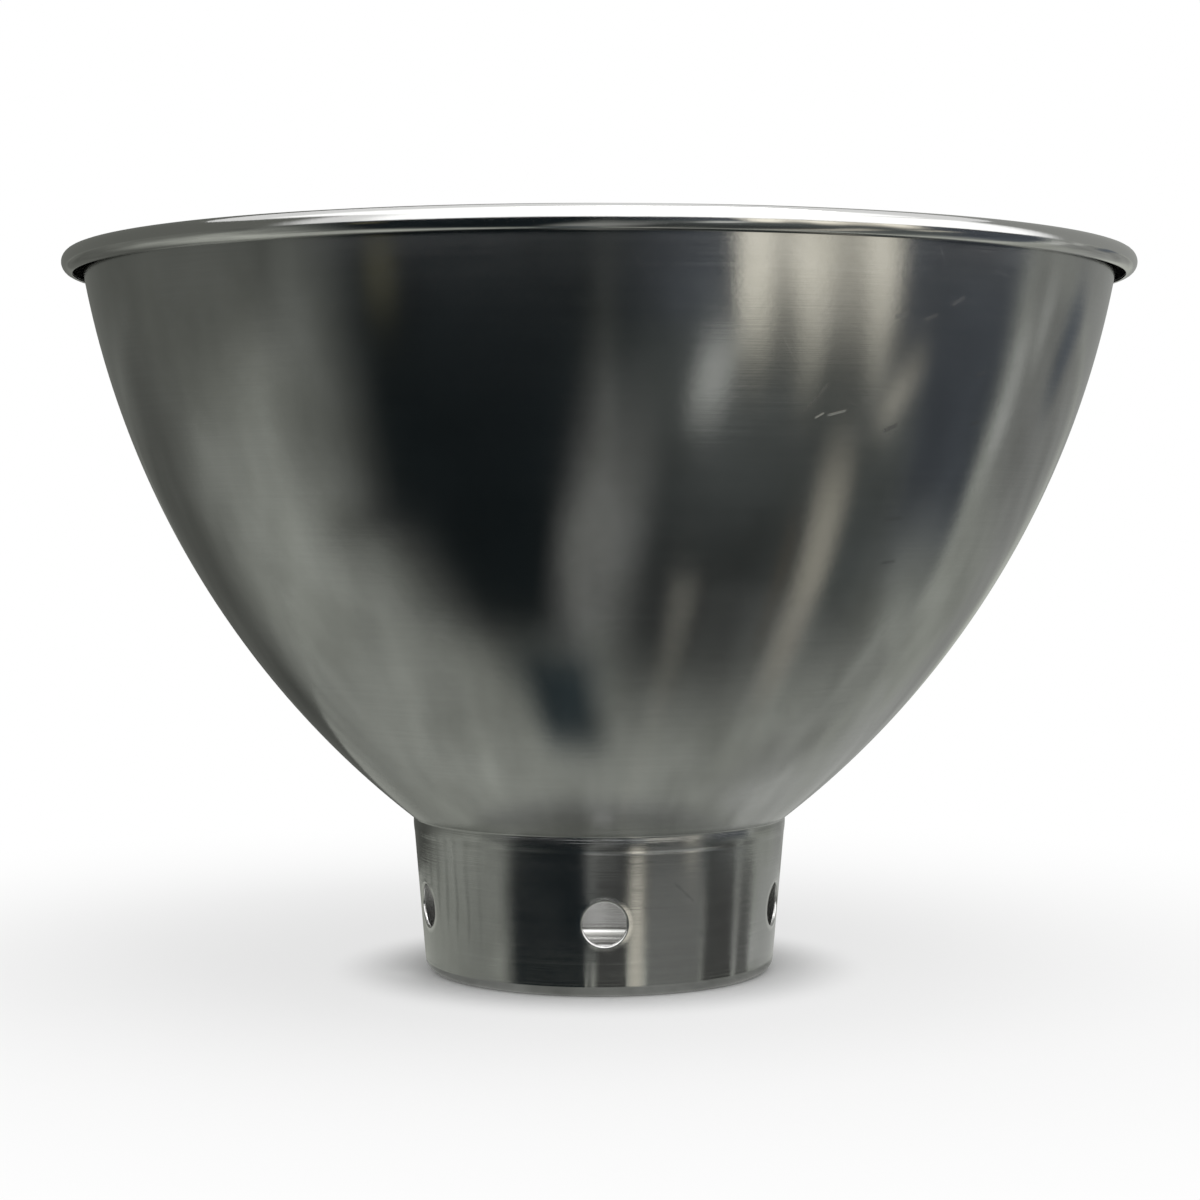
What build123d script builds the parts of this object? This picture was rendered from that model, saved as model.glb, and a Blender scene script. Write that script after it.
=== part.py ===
from build123d import *
import os
from math import acos, atan2, cos, degrees, hypot, radians, sin, tan

# Driving sizes, in millimetres and degrees, over the outside of the metal unless a line says otherwise
HEIGHT = 230.0              # from the ground to the top of the rolled rim
RIM_DIAMETER = 342.0        # across the rolled rim
SHEET = 1.0                 # thickness of the spun sheet
SIDE_RADIUS = 285.0         # the bowl's side is a single arc in section

# The rim is rolled outwards into an open curl
CURL_RADIUS = 3.6
LIP_ANGLE = -88.0           # where the curl stops: 0 is outermost, -90 is straight down

# The neck is a cone that ends in a low raised band under the bowl
NECK_HEIGHT = 49.8
NECK_TOP_DIAMETER = 120.8
NECK_FOOT_DIAMETER = 112.6  # where the cone's line would meet the ground
BAND_WIDTH = 4.9
BAND_STEP = 0.3             # the band's lower edge is this much smaller in radius than its top
BAND_BULGE = 0.15           # the band's face stands this far out of straight

# The neck's foot turns inwards and ends as a flat ring round an open middle
FOOT_CORNER_RADIUS = 4.0
FOOT_OPENING_DIAMETER = 82.0

# Round vent holes are punched through the neck
VENT_COUNT = 5
VENT_DIAMETER = 13.5
VENT_HEIGHT = 22.9          # from the ground to a hole's centre
VENT_TURN = 1.6             # from -Y round to the first hole, towards +X


def circle_crossing(centre_a, radius_a, centre_b, radius_b):
    """Find the point at both distances from two centres, on the left of the way from a to b."""
    across = centre_b[0] - centre_a[0]
    up = centre_b[1] - centre_a[1]
    apart = hypot(across, up)
    to_b = atan2(up, across)
    turn = acos((apart**2 + radius_a**2 - radius_b**2) / (2 * apart * radius_a))
    return (
        centre_a[0] + radius_a * cos(to_b + turn),
        centre_a[1] + radius_a * sin(to_b + turn),
    )


def arc_between(centre, radius, start, end):
    """Draw an arc about a centre, from the bearing of one point to the bearing of another."""
    first = degrees(atan2(start[1] - centre[1], start[0] - centre[0]))
    last = degrees(atan2(end[1] - centre[1], end[0] - centre[0]))
    return CenterArc(centre, radius, first, last - first)


def neck_lines(neck_top):
    """Draw the neck's outside face in section: flat ring, rounded corner, cone and band."""
    band_foot = (neck_top[0] - BAND_STEP, neck_top[1] - BAND_WIDTH)
    cone_foot = (NECK_FOOT_DIAMETER / 2, 0)
    lean = atan2(band_foot[0] - cone_foot[0], band_foot[1] - cone_foot[1])
    corner_run = FOOT_CORNER_RADIUS * tan((radians(90) - lean) / 2)
    ring_end = (cone_foot[0] - corner_run, 0)
    cone_start = (cone_foot[0] + corner_run * sin(lean), corner_run * cos(lean))
    corner_centre = (ring_end[0], FOOT_CORNER_RADIUS)
    return [
        Line((FOOT_OPENING_DIAMETER / 2, 0), ring_end),
        arc_between(corner_centre, FOOT_CORNER_RADIUS, ring_end, cone_start),
        Line(cone_start, band_foot),
        SagittaArc(band_foot, neck_top, -BAND_BULGE),
    ]


def side_lines(neck_top):
    """Draw the bowl's outside face in section, and the hollow face of the curl that it runs into."""
    curl_centre = (RIM_DIAMETER / 2 - CURL_RADIUS, HEIGHT - CURL_RADIUS)
    hollow_radius = CURL_RADIUS - SHEET
    side_centre = circle_crossing(neck_top, SIDE_RADIUS, curl_centre, SIDE_RADIUS + hollow_radius)
    back = degrees(atan2(side_centre[1] - curl_centre[1], side_centre[0] - curl_centre[0]))
    return [
        arc_between(side_centre, SIDE_RADIUS, neck_top, curl_centre),
        CenterArc(curl_centre, hollow_radius, back, LIP_ANGLE - back),
    ]


def sheet_section():
    """Draw the sheet in section: its outside face from foot to lip, thickened towards the inside."""
    neck_top = (NECK_TOP_DIAMETER / 2, NECK_HEIGHT)
    outside = Wire(neck_lines(neck_top) + side_lines(neck_top))
    return make_face(offset(outside, SHEET, side=Side.LEFT))


def vent_punches():
    """Make the round punches that pass from the axis out through the neck, evenly spaced."""
    reach = NECK_TOP_DIAMETER / 2 + SHEET
    facing = Plane(origin=(0, 0, VENT_HEIGHT), x_dir=(1, 0, 0), z_dir=(0, -1, 0))
    punch = facing * Cylinder(VENT_DIAMETER / 2, reach, align=(Align.CENTER, Align.CENTER, Align.MIN))
    return [Rot(0, 0, VENT_TURN + place * 360 / VENT_COUNT) * punch for place in range(VENT_COUNT)]


def spun_bowl():
    """Spin the section round the axis and punch the vent holes."""
    return revolve(Plane.XZ * sheet_section(), Axis.Z) - vent_punches()


os.makedirs("parts", exist_ok=True)
export_step(spun_bowl(), "parts/spun_bowl.step")
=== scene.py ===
# %% [markdown]
# # A deep bowl, spun from one sheet of metal
# The real object starts as a flat disc. A spinner turns it on a lathe, presses it over a form with a roller,
# rolls its rim outwards, and punches five holes through its neck. This script does the same: it draws the
# sheet in section, spins the section round the axis, sets in the pierced panels, and finishes the metal.
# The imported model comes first, as the frame that fixes every size.

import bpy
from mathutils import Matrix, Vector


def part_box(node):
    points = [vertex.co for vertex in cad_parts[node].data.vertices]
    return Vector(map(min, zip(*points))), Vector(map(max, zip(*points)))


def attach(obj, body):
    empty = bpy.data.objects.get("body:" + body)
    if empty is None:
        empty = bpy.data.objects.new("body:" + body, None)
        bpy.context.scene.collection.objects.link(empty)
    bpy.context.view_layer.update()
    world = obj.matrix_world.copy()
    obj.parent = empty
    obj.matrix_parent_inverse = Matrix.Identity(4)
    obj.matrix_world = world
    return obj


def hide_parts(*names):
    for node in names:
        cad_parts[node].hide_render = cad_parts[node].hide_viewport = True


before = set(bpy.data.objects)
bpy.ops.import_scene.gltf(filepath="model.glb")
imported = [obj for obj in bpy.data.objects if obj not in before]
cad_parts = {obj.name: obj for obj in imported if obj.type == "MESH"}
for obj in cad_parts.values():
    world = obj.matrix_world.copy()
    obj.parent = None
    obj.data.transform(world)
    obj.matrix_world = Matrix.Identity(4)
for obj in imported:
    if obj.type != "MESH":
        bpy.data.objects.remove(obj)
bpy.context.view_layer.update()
print("frame nodes:", sorted(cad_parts))

# %% [markdown]
# ## The sizes
# The height and the rim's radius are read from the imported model. The others are the real object's own sizes,
# in metres and degrees. A size that follows from others is worked out where it is needed.

# %% Sizes of the sheet
from functools import reduce
from math import acos, asin, atan2, cos, degrees, hypot, pi, radians, sin, tan

import bmesh
import bpy
from mathutils import Vector

low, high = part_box("spun_bowl")
HEIGHT = high[2] - low[2]
RIM_RADIUS = min(high[0], high[1], -low[0], -low[1])
SHEET = 0.0010                  # thickness of the metal
SIDE_RADIUS = 0.2850            # the side is one arc in section
CURL_RADIUS = 0.0036            # outside of the rolled rim
LIP_ANGLE = -88                 # where the curl stops: 0 is outermost, -90 is straight down
NECK_TOP = (0.0604, 0.0498)     # radius and height
BAND_FOOT = (0.0601, 0.0449)
BAND_BULGE = 0.00015            # how far the band's face stands out of straight
CONE_FOOT = (0.0563, 0)         # where the line of the cone would meet the ground
FOOT_CORNER = 0.0040
FOOT_OPENING = 0.0410
print("height and rim radius from the frame:", round(HEIGHT, 4), round(RIM_RADIUS, 4))

# %% [markdown]
# ## Runs of the section
# In section the sheet is a chain of straight and round runs. Each point carries the direction that faces out
# of the metal there. Going up the outside, the metal lies on the left, so out is a quarter turn to the right.
# The inside face then needs no drawing of its own: it is the outside face, moved in by the sheet's thickness.
# A round run has one very short step at each end. The smooth shading of the long face beside it would
# otherwise be bent by the first facet of the curve, and polished metal shows such a bend.

# %% Straight runs, round runs and creases
EASE = 0.03             # share of a step that the short first and last steps take


def line_run(start, end, steps):
    """Points from start to end, each with its way out of the metal."""
    along = (end[0] - start[0], end[1] - start[1])
    length = hypot(*along)
    out = (along[1] / length, -along[0] / length)
    return [((start[0] + along[0] * i / steps, start[1] + along[1] * i / steps), out) for i in range(steps + 1)]


def arc_run(centre, radius, first, last, steps):
    """Points round an arc between two bearings in degrees, each with its way out of the metal."""
    way = 1 if last > first else -1
    run = []
    for place in [0, EASE, *range(1, steps), steps - EASE, steps]:
        bearing = radians(first + (last - first) * place / steps)
        spot = (centre[0] + radius * cos(bearing), centre[1] + radius * sin(bearing))
        run.append((spot, (way * cos(bearing), way * sin(bearing))))
    return run


def crease_run(corner, before, after, radius, steps):
    """A small fillet in a crease that turns right, between two bearings of travel in degrees."""
    back = radius * tan(radians(before - after) / 2)
    start = (corner[0] - back * cos(radians(before)), corner[1] - back * sin(radians(before)))
    centre = (start[0] + radius * sin(radians(before)), start[1] - radius * cos(radians(before)))
    return arc_run(centre, radius, before + 90, after + 90, steps), back


def bearing_of(centre, spot):
    """Bearing in degrees from a centre to a spot."""
    return degrees(atan2(spot[1] - centre[1], spot[0] - centre[0]))


print("a quarter arc of 8 steps has", len(arc_run((0, 0), 1, 0, 90, 8)), "points")

# %% [markdown]
# ## The outside face of the sheet
# From the foot up it is a flat ring, a rounded corner, a cone, a low raised band, one long arc, and the hollow
# of the rolled rim. The long arc starts at the neck's top and runs on smoothly into the hollow, which fixes its
# centre. The two creases beside the band get a small fillet, because a knife-sharp crease can't catch the
# light, and the real ones show as thin bright lines.

# %% Centres and bearings that follow from the sizes
curl_centre = (RIM_RADIUS - CURL_RADIUS, HEIGHT - CURL_RADIUS)
hollow = CURL_RADIUS - SHEET
apart = hypot(curl_centre[0] - NECK_TOP[0], curl_centre[1] - NECK_TOP[1])
turn = acos((apart**2 + SIDE_RADIUS**2 - (SIDE_RADIUS + hollow) ** 2) / (2 * apart * SIDE_RADIUS))
towards = radians(bearing_of(NECK_TOP, curl_centre)) + turn
side_centre = (NECK_TOP[0] + SIDE_RADIUS * cos(towards), NECK_TOP[1] + SIDE_RADIUS * sin(towards))
side_start = bearing_of(side_centre, NECK_TOP)
side_end = bearing_of(side_centre, curl_centre)

lean = atan2(BAND_FOOT[0] - CONE_FOOT[0], BAND_FOOT[1] - CONE_FOOT[1])
cone_bearing = 90 - degrees(lean)
corner_centre = (CONE_FOOT[0] - FOOT_CORNER * tan(radians(cone_bearing) / 2), FOOT_CORNER)

band_chord = hypot(NECK_TOP[0] - BAND_FOOT[0], NECK_TOP[1] - BAND_FOOT[1])
band_bearing = bearing_of(BAND_FOOT, NECK_TOP)
band_radius = band_chord**2 / (8 * BAND_BULGE) + BAND_BULGE / 2
half_band = degrees(asin(band_chord / 2 / band_radius))
band_depth = band_radius - BAND_BULGE
band_centre = (
    (NECK_TOP[0] + BAND_FOOT[0]) / 2 - band_depth * sin(radians(band_bearing)),
    (NECK_TOP[1] + BAND_FOOT[1]) / 2 + band_depth * cos(radians(band_bearing)),
)
print("side arc centre:", [round(v, 5) for v in side_centre], "band radius:", round(band_radius, 5))

# %% The belt that holds the vents, and the outside face below and above it
BELT_LOW, BELT_HIGH = 0.0117, 0.0341
TOP_CREASE = 0.0006     # fillet radius where the neck meets the bowl
BAND_CREASE = 0.0025    # fillet radius under the band
RING_STEPS, CORNER_STEPS, CONE_STEPS = 2, 9, (2, 3)     # of the cone, below and above the vents
BAND_CREASE_STEPS, BAND_STEPS, TOP_CREASE_STEPS = 3, 7, 6
SIDE_STEPS, CURL_STEPS = 56, 22


def on_cone(z):
    """Point of the neck's outside face at a height."""
    return (CONE_FOOT[0] + z * tan(lean), z)


def foot_face():
    """Outside face from the opening in the foot up to the vent belt."""
    ring = line_run((FOOT_OPENING, 0), (corner_centre[0], 0), RING_STEPS)
    corner = arc_run(corner_centre, FOOT_CORNER, -90, cone_bearing - 90, CORNER_STEPS)
    cone = line_run(corner[-1][0], on_cone(BELT_LOW), CONE_STEPS[0])
    return ring + corner[1:] + cone[1:]


def upper_face():
    """Outside face from the vent belt up to the lip."""
    band_start, band_end = band_bearing - half_band, band_bearing + half_band
    low_crease, low_back = crease_run(BAND_FOOT, cone_bearing, band_start, BAND_CREASE, BAND_CREASE_STEPS)
    top_crease, top_back = crease_run(NECK_TOP, band_end, side_start + 90, TOP_CREASE, TOP_CREASE_STEPS)
    first = band_start - 90 + degrees(low_back / band_radius)
    last = band_end - 90 - degrees(top_back / band_radius)
    side_first = side_start + degrees(top_back / SIDE_RADIUS)
    cone = line_run(on_cone(BELT_HIGH), low_crease[0][0], CONE_STEPS[1])
    band = arc_run(band_centre, band_radius, first, last, BAND_STEPS)
    side = arc_run(side_centre, SIDE_RADIUS, side_first, side_end, SIDE_STEPS)
    inner_curl = arc_run(curl_centre, hollow, side_end + 180, LIP_ANGLE, CURL_STEPS)
    return cone + low_crease[1:] + band + top_crease + side + inner_curl[1:]


lower, upper = foot_face(), upper_face()
print("outside face:", len(lower), "points below the vents and", len(upper), "above")

# %% [markdown]
# ## Sheared edges, and the whole section
# The sheet ends twice: at the lip of the rolled rim and round the opening in the foot. Both edges were cut by
# a tool, then lost their sharpness, so each gets two tiny round corners. The section is drawn as two open
# chains, because the belt between them is left for the pierced panels.

# %% Close the section round the sheet's two edges
EDGE = 0.00015          # rounding of a sheared edge


def sheared_edge(end, out, onward):
    """Points round the sheet's cut edge, from its outside face to its inside face."""
    run = []
    for side, first in ((1, 0), (-1, 90)):
        middle = (1 - side) / 2 * SHEET + side * EDGE
        for bearing in (radians(first + 30 * i) for i in range(4)):
            rise, reach = cos(bearing) * EDGE, sin(bearing) * EDGE - EDGE
            run.append(tuple(end[k] - out[k] * (middle - rise) + onward[k] * reach for k in (0, 1)))
    return run


def drop_tail(points, end, reach=EDGE * 1.5):
    """The points of a face that stop short of the rounded edge, so that the two don't overlap."""
    return [p for p in points if hypot(p[0] - end[0], p[1] - end[1]) > reach]


def chain(face, onward):
    """Out along a face, round the cut edge at its end, and back along the inside face."""
    end, out = face[-1]
    inside = [(spot[0] - out[0] * SHEET, spot[1] - out[1] * SHEET) for spot, out in reversed(face)]
    outside = drop_tail([spot for spot, _ in face], end)
    return outside + sheared_edge(end, out, onward) + drop_tail(inside, inside[0])


lip_out = upper[-1][1]
upper_chain = chain(upper, (-lip_out[1], lip_out[0]))
lower_chain = chain(lower[::-1], (-1.0, 0.0))[::-1]
print("section points:", len(lower_chain) + len(upper_chain))

# %% [markdown]
# ## A pierced panel
# A fifth of the belt is one panel. Cutting the holes with a boolean would leave long thin triangles that show
# as kinks in polished metal. Instead the grid is drawn round the hole from the start: rings of points go from
# a square patch in to the hole, over its softened edge, through the wall, and out again on the inside face.
# The punch came from inside and pushed the sheet a little way out before it broke through, so each hole stands
# in a low swelling with a round edge. That edge is what shows as a bright crescent under the front hole.

# %% Sizes and grid of the panel
VENTS = 5
VENT_RADIUS = 0.00675
VENT_HEIGHT = 0.0229
VENT_TURN = 1.6         # degrees from the front to the first vent
STEPS = 300             # facets round the whole bowl
PANEL_STEPS = STEPS // VENTS
PATCH = 10              # columns on each side of the vent that belong to the ringed patch
ROWS = 18
ENTRY, EXIT = 0.00070, 0.00015      # rounding of the hole's edge outside and inside
SWELL_RADIUS = 0.0092   # where the swelling round a hole begins
SWELL_HEIGHT = 0.00018  # how far the sheet stands out at the hole
step = 2 * pi / STEPS   # angle from one column to the next


def cone_point(theta, z, depth):
    """A point at an angle from the front, on the neck's face or at some depth under it."""
    radius = CONE_FOOT[0] + z * tan(lean) - depth / cos(lean)
    return Vector((radius * sin(theta), -radius * cos(theta), z))


def belt_z(row, depth):
    """Height of a row of the belt: the inside face's rows sit square behind the outside's."""
    return BELT_LOW + (BELT_HIGH - BELT_LOW) * row / ROWS + depth * sin(lean)


def patch_border():
    """Columns and rows round the square patch, from its lower left corner, to the right first."""
    corners = [(-PATCH, 0), (PATCH, 0), (PATCH, ROWS), (-PATCH, ROWS)]
    walk = []
    for (c0, r0), (c1, r1) in zip(corners, corners[1:] + corners[:1]):
        count = max(abs(c1 - c0), abs(r1 - r0))
        walk += [(c0 + (c1 - c0) * i / count, r0 + (r1 - r0) * i / count) for i in range(count)]
    return walk


def vent_ring(radius, depth, share=1.0, face=0.0):
    """One ring of points: on a circle round the hole, or a share of the way in from the patch's border."""
    walk = patch_border()
    ring = []
    first = -90 - 180 * 2 * PATCH / len(walk)
    for i, (column, row) in enumerate(walk):
        bearing = radians(first + 360 * i / len(walk))
        x, z = radius * cos(bearing), VENT_HEIGHT + radius * sin(bearing)
        theta = asin(x / (CONE_FOOT[0] + z * tan(lean) - depth / cos(lean)))
        border_theta, border_z = column * step, belt_z(row, face)
        on_way = (border_theta + (theta - border_theta) * share, border_z + (z - border_z) * share)
        ring.append(cone_point(*on_way, depth))
    return ring


def swelling(radius):
    """Depth of the swollen face at a distance from the hole's middle: it stands out, so it is below zero."""
    share = max(0.0, (SWELL_RADIUS - radius) / (SWELL_RADIUS - VENT_RADIUS))
    return -SWELL_HEIGHT * share**2


print("points in one ring of a vent:", len(patch_border()))

# %% Build the panel's mesh
RINGS, SWELL_RINGS = 5, 9           # rings up to the swelling, and over it, on each face
ENTRY_ANGLES = range(20, 91, 10)    # rings round the hole's outside edge
EXIT_ANGLES = (10, 50, 90)          # rings round its inside edge


def half_rings(rounding, angles, depth, way):
    """Rings on one face: from the patch's border in to the hole, and round the hole's edge."""
    edge = VENT_RADIUS + rounding
    rings = [vent_ring(SWELL_RADIUS, depth, i / RINGS, depth) for i in range(RINGS)]
    for i in range(SWELL_RINGS + 1):
        radius = SWELL_RADIUS + (edge - SWELL_RADIUS) * i / SWELL_RINGS
        rings.append(vent_ring(radius, depth + swelling(radius)))
    for angle in angles:
        radius = VENT_RADIUS + rounding * (1 - sin(radians(angle)))
        bent = way * rounding * (1 - cos(radians(angle)))
        rings.append(vent_ring(radius, depth + swelling(edge) + bent))
    return rings


def vent_rings():
    """All rings of the patch, from the outside border through the hole to the inside border."""
    return half_rings(ENTRY, ENTRY_ANGLES, 0, 1) + half_rings(EXIT, EXIT_ANGLES, SHEET, -1)[::-1]


def new_object(name, data):
    """An object in the scene, for a mesh, a camera or a lamp."""
    made = bpy.data.objects.new(name, data)
    bpy.context.collection.objects.link(made)
    return made


def vent_panel():
    """One fifth of the belt, with its hole, as a mesh."""
    shape = bmesh.new()
    rings = [[shape.verts.new(p) for p in ring] for ring in vent_rings()]
    for ring, following in zip(rings, rings[1:]):
        for i in range(len(ring)):
            j = (i + 1) % len(ring)
            shape.faces.new((ring[i], ring[j], following[j], following[i]))
    half = PANEL_STEPS // 2
    for depth in (0, SHEET):
        for first, last in ((-half, -PATCH), (PATCH, half)):
            columns = range(first, last + 1)
            grid = [
                [shape.verts.new(cone_point(c * step, belt_z(r, depth), depth)) for c in columns]
                for r in range(ROWS + 1)
            ]
            for row, above in zip(grid, grid[1:]):
                for i in range(len(row) - 1):
                    shape.faces.new((row[i], row[i + 1], above[i + 1], above[i]))
    mesh = bpy.data.meshes.new("vent_panel")
    shape.to_mesh(mesh)
    shape.free()
    return mesh


panel = new_object("vent_panel", vent_panel())
print("panel faces:", len(panel.data.polygons))

# %% [markdown]
# ## Helpers for node trees
# Both the shape and the finish are node trees. A few small helpers keep their cells short. One adds a node and
# feeds its inputs from values or from other nodes. Two more start and end a group, with its named inputs and
# outputs. The rest stand for the nodes that are used most.

# %% Node helpers
def add(tree, kind, inputs=None, **settings):
    """Add a node, set its properties, feed its inputs from values or sockets, and give its outputs."""
    made = tree.nodes.new(kind)
    for name, value in settings.items():
        setattr(made, name, value)
    for key, value in (inputs or {}).items():
        for source in value if isinstance(value, list) else [value]:
            if isinstance(source, bpy.types.NodeSocket):
                tree.links.new(source, made.inputs[key])
            else:
                made.inputs[key].default_value = source
    return made.outputs


def group(name, inputs, kind="ShaderNodeTree"):
    """Start a node group. Each input has its starting number, or else the name of its type."""
    tree = bpy.data.node_groups.new(name, kind)
    for label, value in inputs.items():
        takes = value if isinstance(value, str) else type(value).__name__.title()
        made = tree.interface.new_socket(label, in_out="INPUT", socket_type="NodeSocket" + takes)
        if takes != value:
            made.default_value = value
    return tree, tree.nodes.new("NodeGroupInput").outputs


def give(tree, kind="Float", **values):
    """End a node group: each value goes out under its name."""
    for label in values:
        tree.interface.new_socket(label, in_out="OUTPUT", socket_type="NodeSocket" + kind)
    ends = tree.nodes.new("NodeGroupOutput").inputs
    for label, value in values.items():
        tree.links.new(value, ends[label])
    return tree


def calc(tree, operation, *values):
    """One step of arithmetic on numbers."""
    return add(tree, "ShaderNodeMath", dict(enumerate(values)), operation=operation)[0]


def vector(tree, operation, *values):
    """One step of arithmetic on vectors."""
    return add(tree, "ShaderNodeVectorMath", dict(enumerate(values)), operation=operation)


def split(tree, place):
    """The three parts of a place."""
    return add(tree, "ShaderNodeSeparateXYZ", {0: place})


def join(tree, **parts):
    """A place from its parts. A part that isn't named is 0."""
    return add(tree, "ShaderNodeCombineXYZ", parts)[0]


print("helpers ready")

# %% [markdown]
# ## Spin the section and set in the panels
# Spinning is a rule, so Geometry Nodes do it: Curve to Mesh carries the section round a circle, as the roller
# goes round the form. The same tree repeats the panel once for each vent, because the vents repeat too. The
# circle has the radius of the opening in the foot, and the section is measured out from it.

# %% Geometry Nodes tree that spins and pierces
WELD = 0.000005         # points that are nearer than this become one


def spinning_tree():
    """Spin the incoming section, add the vent panels and close the seams."""
    inputs = {
        "Section": "Geometry", "Circle Radius": FOOT_OPENING, "Steps": STEPS,
        "Panel": "Object", "Vents": VENTS, "Turn": radians(VENT_TURN),
    }
    tree, given = group("spin_and_pierce", inputs, "GeometryNodeTree")
    inwards = join(tree, X=calc(tree, "MULTIPLY", given["Circle Radius"], -1.0))
    upright = {"Geometry": given["Section"], "Translation": inwards, "Rotation": (pi / 2, 0, 0)}
    laid = add(tree, "GeometryNodeTransform", upright)
    section = add(tree, "GeometryNodeMeshToCurve", {"Mesh": laid[0]})
    round_way = {"Resolution": given["Steps"], "Radius": given["Circle Radius"]}
    circle = add(tree, "GeometryNodeCurvePrimitiveCircle", round_way)
    spun = add(tree, "GeometryNodeCurveToMesh", {"Curve": circle[0], "Profile Curve": section[0]})

    share = calc(tree, "DIVIDE", 2 * pi, given["Vents"])
    angle = calc(tree, "MULTIPLY", add(tree, "GeometryNodeInputIndex")[0], share)
    turned = add(tree, "FunctionNodeAxisAngleToRotation", {"Axis": (0, 0, 1), "Angle": angle})
    spots = add(tree, "GeometryNodePoints", {"Count": given["Vents"]})
    pierced = add(tree, "GeometryNodeObjectInfo", {"Object": given["Panel"]})["Geometry"]
    set_in = {"Points": spots[0], "Instance": pierced, "Rotation": turned[0]}
    repeated = add(tree, "GeometryNodeInstanceOnPoints", set_in)

    both = add(tree, "GeometryNodeJoinGeometry", {0: [spun[0], repeated[0]]})
    real = add(tree, "GeometryNodeRealizeInstances", {"Geometry": both[0]})
    closed = add(tree, "GeometryNodeMergeByDistance", {"Geometry": real[0], "Distance": WELD})
    facing = {"Geometry": closed[0], "Rotation": join(tree, Z=given["Turn"])}
    set_round = add(tree, "GeometryNodeTransform", facing)
    smooth = add(tree, "GeometryNodeSetShadeSmooth", {"Geometry": set_round[0], "Shade Smooth": True})
    return give(tree, "Geometry", Bowl=smooth[0])


spin_tree = spinning_tree()
print("spinning tree:", len(spin_tree.nodes), "nodes")

# %% [markdown]
# ## What the metal needs to know about where it is
# Different places on the bowl had different tools on them, so they shine differently. The side is satin, with
# fine lines that run round it. The rolled rim was burnished by the rolling tool. The neck was turned and shows
# coarser lines. The inside was against the form and is duller. This group measures how far a point is from the
# axis, and says which zone it is in.

# %% Zone masks
RIM_FADE = (1.25, 1.05)         # the rim's mask comes in between these shares of the curl's radius
HOLLOW_FADE = (0.5, 0.9)        # sheet thicknesses in from the curl's outside
NECK_FADE = (0.0004, -0.0001)   # heights over the neck's top
INSIDE_FADE = (0.02, -0.02)     # how far a face looks outwards: 1 is straight out
RISE_SHARE = 0.6                # part of the radius that counts, with the height, as way along the sheet


def ramp(tree, value, start, end):
    """A smooth rise from 0 to 1 while a value goes from start to end."""
    inputs = {"Value": value, "From Min": start, "From Max": end}
    return add(tree, "ShaderNodeMapRange", inputs, interpolation_type="SMOOTHSTEP")["Result"]


def distance(tree, across, up):
    """Length of the straight way that goes across and up by these amounts."""
    squares = [calc(tree, "POWER", part, 2) for part in (across, up)]
    return calc(tree, "SQRT", calc(tree, "ADD", *squares))


def to_nearest_vent(tree, angle, radius, height):
    """Distance along the neck's face to the middle of the nearest vent."""
    share = 2 * pi / VENTS
    turned = calc(tree, "ADD", calc(tree, "SUBTRACT", angle, radians(VENT_TURN)), share / 2 + 2 * pi)
    off = calc(tree, "SUBTRACT", calc(tree, "MODULO", turned, share), share / 2)
    aside = calc(tree, "MULTIPLY", calc(tree, "SINE", off), radius)
    return distance(tree, aside, calc(tree, "SUBTRACT", height, VENT_HEIGHT))


def zone_group():
    """Masks for the rolled rim, the neck and the inside, and the place along and round the sheet."""
    tree, given = group("bowl_zones", {"Position": "Vector", "Facing": "Vector"})
    spot = split(tree, given["Position"])
    flat = join(tree, X=spot["X"], Y=spot["Y"])
    radius = vector(tree, "LENGTH", flat)["Value"]
    angle = calc(tree, "ARCTAN2", spot["X"], calc(tree, "MULTIPLY", spot["Y"], -1))

    across = calc(tree, "SUBTRACT", radius, curl_centre[0])
    from_curl = distance(tree, across, calc(tree, "SUBTRACT", spot["Z"], curl_centre[1]))
    rim = ramp(tree, from_curl, *(CURL_RADIUS * share for share in RIM_FADE))
    in_curl = ramp(tree, from_curl, *(CURL_RADIUS - SHEET * share for share in HOLLOW_FADE))
    neck = ramp(tree, spot["Z"], *(NECK_TOP[1] + over for over in NECK_FADE))
    outwards = vector(tree, "DOT_PRODUCT", flat, given["Facing"])["Value"]
    inside = ramp(tree, calc(tree, "DIVIDE", outwards, radius), *INSIDE_FADE)
    to_vent = to_nearest_vent(tree, angle, radius, spot["Z"])
    at_vent = ramp(tree, to_vent, SWELL_RADIUS, VENT_RADIUS + ENTRY * 1.2)
    return give(
        tree,
        Rim=rim,
        Hollow=in_curl,
        Neck=neck,
        Inside=calc(tree, "MULTIPLY", inside, calc(tree, "SUBTRACT", 1, rim)),
        Edge=calc(tree, "MULTIPLY", neck, at_vent),
        Radius=radius,
        Rise=calc(tree, "MULTIPLY_ADD", radius, RISE_SHARE, spot["Z"]),
        Angle=angle,
    )


zones = zone_group()
print("zone masks:", [item.name for item in zones.interface.items_tree if item.in_out == "OUTPUT"])

# %% [markdown]
# ## Lines left by the lathe
# A roller that travels slowly along a turning sheet leaves a fine screw of lines. They run round the bowl, so
# the pattern changes fast along the sheet and hardly at all round it. Noise does this once its coordinates
# are stretched. A coarse and a fine set together look less even than one set.

# %% Lathe line group
LINE_NOISE = (1.0, 3.0, 0.65)       # scale, detail and roughness, before the stretch


def noise(tree, where, scale, detail, roughness):
    """Cloudy noise from 0 to 1, with most of it round the middle."""
    inputs = {"Vector": where, "Scale": scale, "Detail": detail, "Roughness": roughness}
    return add(tree, "ShaderNodeTexNoise", inputs)["Fac"]


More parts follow.
